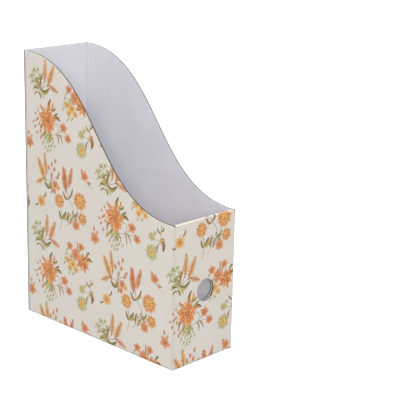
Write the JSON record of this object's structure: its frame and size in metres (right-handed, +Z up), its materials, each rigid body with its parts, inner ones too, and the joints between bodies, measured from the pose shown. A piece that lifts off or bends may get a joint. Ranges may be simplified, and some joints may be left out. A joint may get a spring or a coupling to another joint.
{
  "type": "magazine file holder",
  "caption": "Folded cardboard magazine file with tall back, low double-layer front with a finger hole, S-curved side rims and a hinged bottom closure.",
  "frame": {"origin": "centre of the footprint, on the surface the file stands on", "axes": "+Z up, the low front with the finger hole faces -Y, the tall back faces +Y, the side wall with the glued seam is at -X"},
  "size_m": [0.096, 0.249, 0.32],
  "materials": {
    "printed_board": "uncoated, cream with a floral print outside, white liner inside",
    "crease": "uncoated, creased",
    "dried_glue": "dried glue line"
  },
  "bodies": {
    "sleeve": {"left_side_panel": "printed_board", "right_side_panel": "printed_board", "front_panel": "printed_board", "back_panel": "printed_board", "front_left_fold": "crease", "front_right_fold": "crease", "back_right_fold": "crease", "back_left_fold": "crease", "glue_flap": "printed_board", "glue_seam": "dried_glue"},
    "top_band": {"front_top_band": "crease"},
    "inner_front": {"inner_front_panel": "printed_board"},
    "bottom_closure": {"bottom_panel": "printed_board"},
    "tuck": {"tuck_tab": "printed_board"},
    "front_dust": {"front_dust_flap": "printed_board"},
    "back_dust": {"back_dust_flap": "printed_board"}
  },
  "joints": [
    {"name": "band_crease", "type": "hinge", "parent": "sleeve", "child": "top_band", "pos_m": [0, -0.1229, 0.1624], "axis": [1, 0, 0], "range_deg": [0, 90]},
    {"name": "inner_front_crease", "type": "hinge", "parent": "top_band", "child": "inner_front", "pos_m": [0, -0.1201, 0.1624], "axis": [1, 0, 0], "range_deg": [0, 90]},
    {"name": "bottom_crease", "type": "hinge", "parent": "sleeve", "child": "bottom_closure", "pos_m": [-0.0464, 0, 0.0016], "axis": [0, 1, 0], "range_deg": [0, 90]},
    {"name": "tuck_crease", "type": "hinge", "parent": "bottom_closure", "child": "tuck", "pos_m": [0.0432, 0, 0.0016], "axis": [0, -1, 0], "range_deg": [0, 30]},
    {"name": "front_dust_crease", "type": "hinge", "parent": "sleeve", "child": "front_dust", "pos_m": [0, -0.1229, 0.0016], "axis": [-1, 0, 0], "range_deg": [0, 90]},
    {"name": "back_dust_crease", "type": "hinge", "parent": "sleeve", "child": "back_dust", "pos_m": [0, 0.1229, 0.0016], "axis": [1, 0, 0], "range_deg": [0, 90]}
  ],
  "couplings": [
    {"joint": "front_dust_crease", "follows": "bottom_crease", "ratio": 1},
    {"joint": "back_dust_crease", "follows": "bottom_crease", "ratio": 1}
  ]
}
